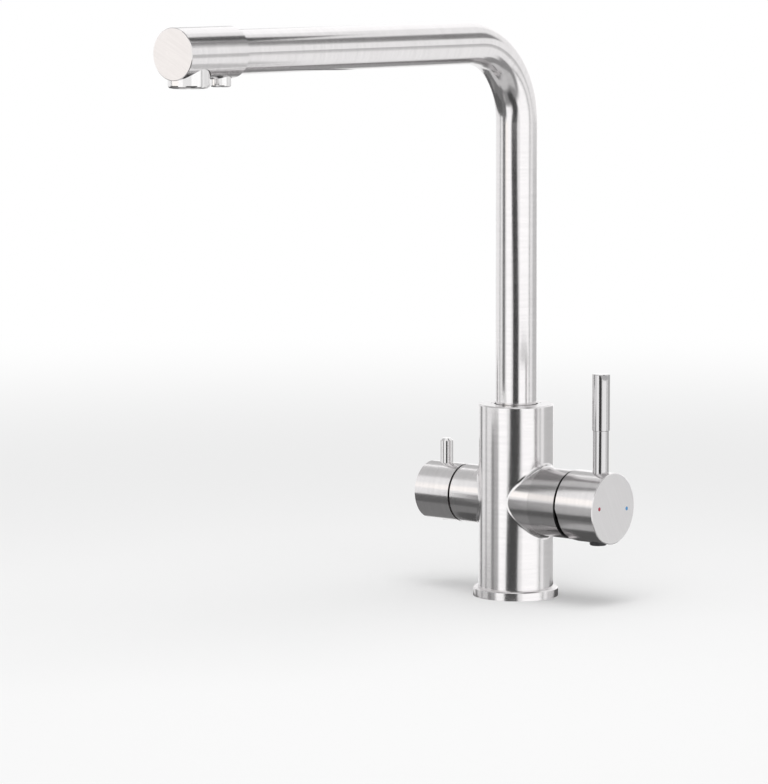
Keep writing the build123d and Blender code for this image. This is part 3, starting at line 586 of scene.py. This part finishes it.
class Finishes:
    """Every finish of the tap, each made once, when it is first asked for."""

    def __init__(self) -> None:
        """List the finishes; no material is made yet."""
        self.recipes: Dict[FinishKey, Recipe] = {
            # the knobs' end faces get painted light
            Grain.ROUND_X: BrushedSteel("brushed_cross_painted_light", Grain.ROUND_X, face_painted_light=0.25),
            Grain.ROUND_Y: BrushedSteel("brushed_head", Grain.ROUND_Y),
            Grain.ROUND_Z: BrushedSteel("brushed_upright", Grain.ROUND_Z),
            Grain.BENT: BrushedSteel("brushed_spout", Grain.BENT),
            # the body's mixer housing gets painted shade, and its end a painted black shadow in the gap
            "body": BrushedSteel("brushed_body_painted_shade", Grain.ROUND_Z,
                                 housing_from=26.5 * MM, dark_from=48.9 * MM),
            "polished": PolishedSteel("polished_steel"),
            # painted shade: the lever's darker colour stands in for the darker reflections it shows
            "lever": PolishedSteel("lever_steel_painted_shade", (0.63, 0.62, 0.625), 0.10),
            "brass": MachinedMetal("machined_brass", (0.72, 0.56, 0.30), (0.50, 0.36, 0.18)),
            "zinc": MachinedMetal("zinc_plate", (0.60, 0.61, 0.63), (0.48, 0.48, 0.50), roughness=0.35),
            "rubber": MouldedMaterial("seal_rubber", (0.022, 0.022, 0.023), 0.6),
            "dark": MouldedMaterial("dark_acetal", (0.03, 0.03, 0.033), 0.42),
            "pale": MouldedMaterial("white_plastic", (0.80, 0.80, 0.78), 0.4),
            "ceramic": MouldedMaterial("lapped_ceramic", (0.84, 0.83, 0.80), 0.16, coat=0.3),
            "red": MouldedMaterial("red_enamel", (0.42, 0.03, 0.06), 0.2, coat=0.6),
            "blue": MouldedMaterial("blue_enamel", (0.06, 0.30, 0.62), 0.2, coat=0.6),
        }
        self.made: Dict[FinishKey, bpy.types.Material] = {}

    def __getitem__(self, key: FinishKey) -> bpy.types.Material:
        """The material for a finish.

        Args:
            key: a grain for brushed steel, or the finish's name.

        Returns:
            The material.
        """
        if key not in self.made:
            self.made[key] = self.recipes[key].make()
        return self.made[key]


@dataclass
class SubAssembly:
    """A group of CAD nodes with their finishes."""

    finishes: Finishes
    nodes: Mapping[str, bpy.types.Object]
    wears: Wears = field(default_factory=dict)

    def dress(self) -> None:
        """Give each node its finish."""
        for node, finish in self.wears.items():
            slots = self.nodes[node].data.materials
            slots.clear()
            slots.append(self.finishes[finish])
            log.info("%s wears %s", node, slots[0].name)

    def build(self) -> None:
        """Finish the assembly; all but one keep their CAD shapes."""
        self.dress()


@dataclass
class Body(SubAssembly):
    """The upright body with its base ring and the ring that the spout turns in."""

    wears: Wears = field(default_factory=lambda: {
        "body": "body", "base_ring": Grain.ROUND_Z, "rim_ring": Grain.ROUND_Z, "base_seal": "rubber",
        "glide_ring": "dark", "spout_screw": "zinc", "pipe_seal": "rubber"})


@dataclass
class Spout(SubAssembly):
    """The bent tube, its bush and seals, and the pipe inside it."""

    wears: Wears = field(default_factory=lambda: {
        "spout_tube": Grain.BENT, "spout_insert": "brass", "spout_o_rings": "rubber", "filter_pipe": "pale"})


@dataclass
class SpoutHead(SubAssembly):
    """The thick end of the spout with its two outlets."""

    wears: Wears = field(default_factory=lambda: {
        "head_shell": Grain.ROUND_Y, "head_manifold": "brass", "aerator_housing": "polished",
        "aerator_washer": "rubber", "aerator_insert": "dark", "aerator_mesh": "pale",
        "filter_nozzle": "polished", "nozzle_insert": "pale"})


@dataclass
class Mixer(SubAssembly):
    """The mixing cartridge, its knob and its lever."""

    wears: Wears = field(default_factory=lambda: {
        "mixer_knob": Grain.ROUND_X, "lever_rod": "lever", "lever_grip": "lever",
        "mixer_grub_screw": "zinc", "screw_plug": "dark", "hot_dot": "red", "cold_dot": "blue",
        "cartridge_base": "pale", "cartridge_seals": "rubber", "fixed_disc": "ceramic",
        "cartridge_shell": "pale", "cartridge_nut": "brass", "trim_dome": "dark",
        "cartridge_collar": "pale", "pivot_pin": "zinc", "moving_disc": "ceramic", "disc_carrier": "dark",
        "cartridge_stem": "brass"})


@dataclass
class FilterValve(SubAssembly):
    """The quarter-turn valve for filtered water, its knob and pin."""

    wears: Wears = field(default_factory=lambda: {
        "filter_knob": Grain.ROUND_X, "filter_pin": "polished", "filter_grub_screw": "zinc",
        "filter_screw_plug": "dark", "valve_spindle": "brass", "spindle_o_ring": "rubber",
        "valve_turning_disc": "ceramic", "valve_fixed_disc": "ceramic", "valve_seal": "rubber",
        "valve_bonnet": "brass", "valve_cover_ring": "polished"})


@dataclass
class DeckFixing(SubAssembly):
    """What clamps the tap to its deck, with a real thread on the shank."""

    wears: Wears = field(default_factory=lambda: {
        "deck_gasket": "rubber", "clamp_washer": "zinc", "mounting_nut": "brass", "threaded_shank": "brass"})
    thread_radius: float = 16.5 * MM
    collar_radius: float = 17.2 * MM
    bore_radius: float = 14 * MM
    pitch: float = 1.5 * MM
    thread_depth: float = 0.8 * MM
    collar_foot: float = -12 * MM
    lead_in: float = 1 * MM
    sides: int = 96
    rows_per_turn: int = 8

    def _radius(self, z: float, angle: float, foot: float) -> float:
        """Radius of the thread at a height and angle.

        Args:
            z: height.
            angle: angle round the shank.
            foot: height of the shank's lower end.

        Returns:
            The radius.
        """
        turn = (z / self.pitch - angle / (2 * math.pi)) % 1.0
        groove = self.thread_depth * abs(2 * turn - 1)
        lead = max(0.0, self.lead_in - (z - foot))
        return self.thread_radius - max(groove, lead)

    def _shank_mesh(self, foot: float, top: float) -> bpy.types.Mesh:
        """A tube with a helical thread below the collar.

        Args:
            foot: height of its lower end.
            top: height of its upper end.

        Returns:
            The closed mesh.
        """
        turns = (self.collar_foot - foot) / self.pitch
        count = int(turns * self.rows_per_turn)
        heights = [foot + (self.collar_foot - foot) * i / count for i in range(count + 1)]
        angles = [2 * math.pi * i / self.sides for i in range(self.sides)]
        rows: List[List[Tuple[float, float]]] = [[(self.bore_radius, foot)] * self.sides]
        rows += [[(self._radius(z, angle, foot), z) for angle in angles] for z in heights]
        collar_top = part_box("body")[0].z
        for radius, z in ((self.collar_radius, self.collar_foot), (self.collar_radius, collar_top),
                          (self.thread_radius, collar_top), (self.thread_radius, top),
                          (self.bore_radius, top)):
            rows.append([(radius, z)] * self.sides)
        points = [(radius * math.cos(angle), radius * math.sin(angle), z)
                  for row in rows for (radius, z), angle in zip(row, angles)]
        faces = []
        for i in range(len(rows)):
            this, after = i * self.sides, (i + 1) % len(rows) * self.sides
            for j in range(self.sides):
                k = (j + 1) % self.sides
                faces.append((this + j, this + k, after + k, after + j))
        mesh = bpy.data.meshes.new("shank_thread")
        mesh.from_pydata(points, [], faces)
        mesh.validate()
        return mesh

    def build(self) -> None:
        """Dress the nodes and replace the plain shank."""
        self.dress()
        low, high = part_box("threaded_shank")
        shank = bpy.data.objects.new("shank_with_thread", self._shank_mesh(low.z, high.z))
        bpy.context.scene.collection.objects.link(shank)
        shank.data.materials.append(self.finishes["brass"])
        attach(shank, "root")
        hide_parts("threaded_shank")
        log.info("shank_with_thread made, %d faces", len(shank.data.polygons))


@dataclass(frozen=True)
class StudioCard:
    """A card of one brightness, bent round the tap, that only reflections show.

    Its rows give an angle up from the horizon and where the card starts and
    ends there, round the tap from the camera and positive to its right, all
    in degrees. It lies on a sphere, or stands as an upright wall.
    """

    name: str
    rows: Tuple[CardRow, ...]
    level: float
    radius: float = 25.0
    upright: bool = False
    step: float = 3.0

    def _filled_rows(self) -> List[CardRow]:
        """Rows close enough together for a smooth bend.

        Returns:
            The given rows with more between them.
        """
        rows = [self.rows[0]]
        for after in self.rows[1:]:
            before = rows[-1]
            count = max(1, math.ceil((after[0] - before[0]) / self.step))
            rows += [tuple(old + (new - old) * i / count for old, new in zip(before, after))
                     for i in range(1, count + 1)]
        return rows

    def build(self, facing: float) -> bpy.types.Object:
        """Make the card.

        Args:
            facing: the camera's own angle round the tap, in radians.

        Returns:
            The card's object.
        """
        rows = self._filled_rows()
        columns = max(1, math.ceil((self.rows[0][2] - self.rows[0][1]) / self.step))
        points: List[Point] = []
        for rise, start, end in rows:
            flat = self.radius * (1.0 if self.upright else math.cos(math.radians(rise)))
            steep = abs(rise) >= 90
            height = math.copysign(self.radius, rise) if steep else flat * math.tan(math.radians(rise))
            for i in range(columns + 1):
                turn = facing + math.radians(start + (end - start) * i / columns)
                points.append((flat * math.sin(turn), -flat * math.cos(turn), height))
        faces = []
        for j in range(len(rows) - 1):
            for i in range(columns):
                first = j * (columns + 1) + i
                faces.append((first, first + 1, first + columns + 2, first + columns + 1))
        return glow_card(self.name, points, faces, (self.level,) * 3)


@dataclass(frozen=True)
class NearCard:
    """A small flat card near the tap that faces a point, seen only in reflections."""

    name: str
    place: Point
    aim: Point
    half_width: float
    half_height: float
    tint: Colour

    def build(self) -> bpy.types.Object:
        """Make the card.

        Returns:
            The card's object.
        """
        forward = (Vector(self.aim) - Vector(self.place)).normalized()
        lies_flat = abs(forward.z) > 0.99
        across = Vector((1, 0, 0)) if lies_flat else forward.cross(Vector((0, 0, 1)))
        across = across.normalized() * self.half_width
        rise = across.cross(forward).normalized() * self.half_height
        centre = Vector(self.place)
        points = [tuple(centre + across * i + rise * j) for i, j in ((-1, -1), (1, -1), (1, 1), (-1, 1))]
        return glow_card(self.name, points, [(0, 1, 2, 3)], self.tint)


def glow_card(name: str, points: Sequence[Point], faces: Sequence[Sequence[int]],
              tint: Colour) -> bpy.types.Object:
    """A sheet that only reflections show.

    Args:
        name: the sheet's name.
        points: its corners.
        faces: its faces.
        tint: its brightness in red, green and blue.

    Returns:
        The sheet's object.
    """
    mesh = bpy.data.meshes.new(name)
    mesh.from_pydata(points, [], faces)
    card = bpy.data.objects.new(name, mesh)
    bpy.context.scene.collection.objects.link(card)
    material, shop = new_material(name)
    shop.surface("ShaderNodeEmission", {"Color": tint, "Strength": 1.0})
    mesh.materials.append(material)
    card.visible_camera = False
    card.visible_diffuse = False
    card.visible_shadow = False
    return card


@dataclass
class PhotoCamera:
    """The photograph's camera, found by fitting the tap's outline.

    Its angles are in degrees. It looks level with the aim, which lies to the
    right of the tap's foot and above it in the picture.
    """

    azimuth: float = 39.397
    elevation: float = 6.618
    roll: float = -0.076
    distance: float = 2745.56 * MM
    aim_right: float = -89.897 * MM
    aim_up: float = 138.263 * MM
    focal_pixels: float = 4019.6
    picture_height: float = 784.0
    sensor: float = 36.0
    far_clip: float = 50.0

    def build(self) -> bpy.types.Object:
        """Make the camera and use it.

        Returns:
            The camera's object.
        """
        turn, rise, roll = (math.radians(angle) for angle in (self.azimuth, self.elevation, self.roll))
        back = Vector((math.sin(turn) * math.cos(rise), -math.cos(turn) * math.cos(rise), math.sin(rise)))
        level = Vector((math.cos(turn), math.sin(turn), 0.0))
        upright = back.cross(level)
        right = level * math.cos(roll) + upright * math.sin(roll)
        up = upright * math.cos(roll) - level * math.sin(roll)
        place = right * self.aim_right + up * self.aim_up + back * self.distance
        data = bpy.data.cameras.new("photo_camera")
        data.sensor_width = self.sensor
        data.lens = self.focal_pixels / self.picture_height * self.sensor
        data.clip_end = self.far_clip
        camera = bpy.data.objects.new("photo_camera", data)
        bpy.context.scene.collection.objects.link(camera)
        camera.matrix_world = Matrix((
            (right.x, up.x, back.x, place.x), (right.y, up.y, back.y, place.y),
            (right.z, up.z, back.z, place.z), (0.0, 0.0, 0.0, 1.0)))
        bpy.context.scene.camera = camera
        log.info("camera at %s", tuple(round(v, 4) for v in place))
        return camera


@dataclass
class Studio:
    """Pale floor, white surroundings, a soft lamp and the cards that metal shows.

    The floor is plain up to floor_solid from the tap and gone at floor_gone.
    The white has the strength surround where it is seen or reflected, and
    fill where it only lights.
    """

    camera: PhotoCamera
    floor_colour: Colour = (0.87, 0.87, 0.87)
    floor_radius: float = 40.0
    floor_sides: int = 96
    floor_solid: float = 0.3
    floor_gone: float = 1.8
    surround: float = 1.0
    fill: float = 0.75
    lamp_place: Point = (0.25, -0.35, 1.5)
    lamp_aim: Point = (0.0, -0.1, 0.15)
    lamp_size: float = 0.9
    lamp_watts: float = 9.0
    cards: Tuple[StudioCard, ...] = (
        StudioCard("flag_behind_camera", ((-29, -32, 3), (-4, -32, 3), (7, -20, 11), (20, -20, 11),
                                          (32, -32, 0), (36, -32, 0)), 0.07, 0.45, True),
        StudioCard("edge_left_low", ((-9.5, -80, -70), (16, -80, -70)), 0.28, 0.3, True),
        StudioCard("edge_left_soft", ((-9.5, -70, -55), (16, -70, -55)), 0.5, 0.32, True),
        StudioCard("edge_left_high", ((47, -81, -64), (71.5, -81, -64)), 0.2, 0.12, True),
        StudioCard("box_left", ((-30, -60, -30), (40, -60, -30)), 1.25),
        StudioCard("box_right", ((-30, 16, 67), (40, 16, 67)), 1.25),
        StudioCard("box_behind", ((-8, 148, 180), (45, 148, 180)), 1.2),
        StudioCard("grey_far_left", ((12, -180, -158), (40, -180, -158)), 0.55),
        StudioCard("thin_left", ((-30, -110, -103), (25, -110, -103)), 0.5),
        StudioCard("thin_behind", ((-20, -140, -126), (14, -140, -126)), 0.3, 0.45, True),
        StudioCard("line_right", ((-30, 75, 79), (30, 75, 79)), 0.35),
        StudioCard("grey_right", ((-11, 93, 172), (-2, 93, 145)), 0.585, 24.5),
        StudioCard("grey_behind", ((17, 103, 121), (33, 103, 121)), 0.22),
        StudioCard("sky_left", ((31, -180, -96), (75, -180, -96)), 0.6),
        StudioCard("sky_front", ((44, -60, 40), (72, -60, 40)), 0.3, 24.0),
        StudioCard("sky_right", ((28, 40, 95), (72, 40, 95)), 0.35, 24.0),
        StudioCard("strip_left", ((43, -168, -142), (47, -168, -142)), 1.5, 24.0),
        StudioCard("ground_below", ((-90, -180, 180), (-59, -180, 180)), 0.65, 23.5),
        StudioCard("ground_left", ((-34, -172, -60), (-30, -166, -60), (-10, -166, -60)), 0.13, 24.5),
        StudioCard("ground_left_low", ((-90, -172, -60), (-34, -172, -60)), 0.22, 24.5),
        StudioCard("ground_front", ((-90, -60, 95), (-30, -60, 95)), 0.3),
        StudioCard("ground_right", ((-90, 95, 180), (-43, 95, 180)), 0.3),
        StudioCard("ground_behind", ((-43, 142, 173), (-26, 142, 173)), 0.34),
    )
    near_cards: Tuple[NearCard, ...] = (
        NearCard("card_beside_spout", (-0.44, -0.88, 0.36), (0.0, -0.343, 0.376),
                 0.30, 0.14, (1.26, 1.22, 1.18)),
        NearCard("flag_over_spout", (0.178, 0.129, 0.749), (0.0, -0.32, 0.376),
                 0.085, 0.065, (0.06,) * 3),
        NearCard("shade_under_tap", (-0.02, 0.05, -0.0115), (-0.02, 0.05, 1.0),
                 0.07, 0.085, (0.1,) * 3),
        NearCard("shade_before_tap", (-0.034, -0.055, -0.0115), (-0.034, -0.055, 1.0),
                 0.036, 0.02, (0.25,) * 3),
        NearCard("glow_before_mixer", (0.026, -0.055, -0.0115), (0.026, -0.055, 1.0),
                 0.024, 0.02, (0.45,) * 3),
        NearCard("shade_beyond_head", (0.17, -0.03, 0.15), (0.17, -0.03, 1.0),
                 0.07, 0.06, (0.6,) * 3),
    )

    def _floor(self) -> None:
        """A pale floor that fades out into the white surroundings."""
        angles = [2 * math.pi * i / self.floor_sides for i in range(self.floor_sides)]
        points = [(self.floor_radius * math.cos(angle), self.floor_radius * math.sin(angle), 0.0)
                  for angle in angles]
        mesh = bpy.data.meshes.new("floor")
        mesh.from_pydata(points, [], [tuple(range(self.floor_sides))])
        floor = bpy.data.objects.new("floor", mesh)
        bpy.context.scene.collection.objects.link(floor)
        material, shop = new_material("pale_floor")
        x, y, _ = shop.place()
        away = (x * x + y * y) ** 0.5
        fade = smooth_step(away, self.floor_solid, self.floor_gone)
        matte = shop.node("ShaderNodeBsdfPrincipled", inputs={
            "Base Color": self.floor_colour, "Roughness": 1.0, "Specular IOR Level": 0.0})
        bright = shop.node("ShaderNodeEmission", inputs={"Strength": self._seen_strength(shop)})
        shop.surface("ShaderNodeMixShader", {0: fade, 1: matte, 2: bright})
        mesh.materials.append(material)
        floor.visible_glossy = False

    def _seen_strength(self, shop: NodeShop) -> Wire:
        """White where it is seen or reflected, softer where it only lights.

        Args:
            shop: the maker of nodes.

        Returns:
            The strength.
        """
        camera, glossy, through = shop.siblings(
            shop.node("ShaderNodeLightPath"), ("Is Camera Ray", "Is Glossy Ray", "Is Transmission Ray"))
        return self.fill + camera.at_least(glossy).at_least(through) * (self.surround - self.fill)

    def _world(self) -> None:
        """White round the tap for the camera and for reflections, softer as a light."""
        world = bpy.data.worlds.new("studio")
        world.use_nodes = True
        bpy.context.scene.world = world
        shop = NodeShop(world.node_tree)
        ground = shop.node("ShaderNodeBackground", inputs={
            "Color": (1.0, 1.0, 1.0), "Strength": self._seen_strength(shop)})
        shop.node("ShaderNodeOutputWorld", inputs={"Surface": ground})

    def _lamp(self) -> None:
        """A square soft lamp over the tap that metal doesn't show."""
        data = bpy.data.lights.new("lamp_over", "AREA")
        data.size = self.lamp_size
        data.energy = self.lamp_watts
        lamp = bpy.data.objects.new("lamp_over", data)
        bpy.context.scene.collection.objects.link(lamp)
        lamp.location = self.lamp_place
        lamp.visible_glossy = False
        aim = Vector(self.lamp_aim) - Vector(self.lamp_place)
        lamp.rotation_euler = aim.to_track_quat("-Z", "Y").to_euler()

    def build(self) -> None:
        """Set the whole studio up."""
        bpy.context.scene.view_settings.view_transform = "Standard"
        self._floor()
        self._world()
        for card in self.cards:
            card.build(math.radians(self.camera.azimuth))
        for card in self.near_cards:
            card.build()
        self._lamp()
        log.info("studio with %d cards", len(self.cards) + len(self.near_cards))


def main() -> None:
    """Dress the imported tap, light it and aim the camera."""
    logging.basicConfig(level=logging.INFO, format="%(name)s: %(message)s")
    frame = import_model()
    camera = PhotoCamera()
    camera.build()
    finishes = Finishes()
    for part in (Body, Spout, SpoutHead, Mixer, FilterValve, DeckFixing):
        part(finishes, frame["nodes"]).build()
    Studio(camera).build()


if __name__ == "__main__":
    main()
